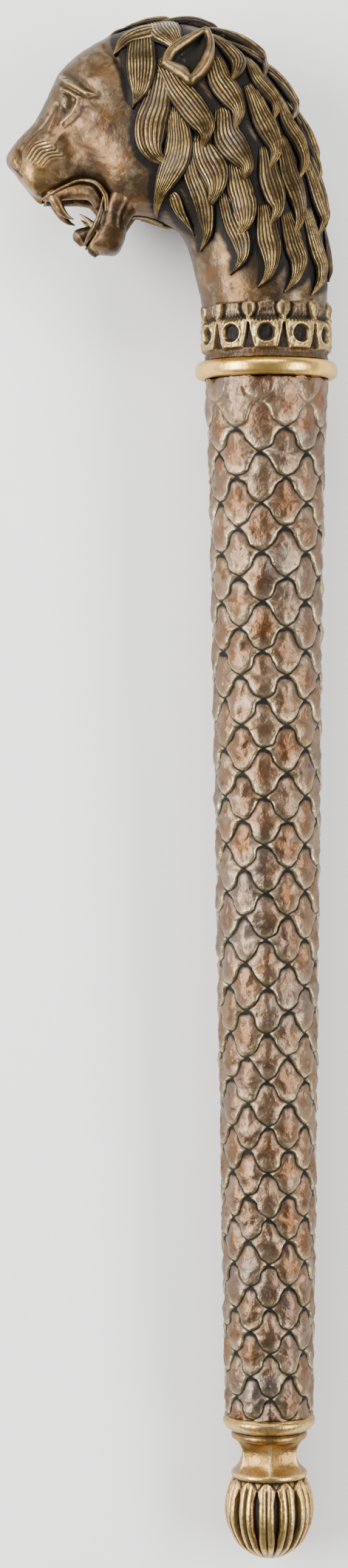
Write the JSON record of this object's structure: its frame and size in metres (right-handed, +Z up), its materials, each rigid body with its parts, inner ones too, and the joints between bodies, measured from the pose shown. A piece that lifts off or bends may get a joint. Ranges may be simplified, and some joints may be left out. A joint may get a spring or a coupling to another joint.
{
  "type": "ceremonial mace",
  "caption": "ceremonial mace with a roaring lion's head looking to one side, a round collar, a tapering shaft of lozenge scales and a lotus bud foot",
  "frame": {"origin": "on the floor, under the middle of the box of the mace as it lies", "axes": "+Y along the shaft towards the head, +Z up, the muzzle towards -X"},
  "size_m": [0.1498, 0.7002, 0.0699],
  "materials": {
    "head_bronze": "aged, chased, dark in the hollows and worn bright on the ridges",
    "collar_brass": "polished",
    "shaft_bronze": "warm brown patina, hammered, with worn scale edges",
    "pommel_brass": "satin, brown in the hollows"
  },
  "bodies": {
    "root": {"lion_head": "head_bronze", "collar_ring": "collar_brass", "shaft": "shaft_bronze", "pommel": "pommel_brass"}
  },
  "joints": []
}
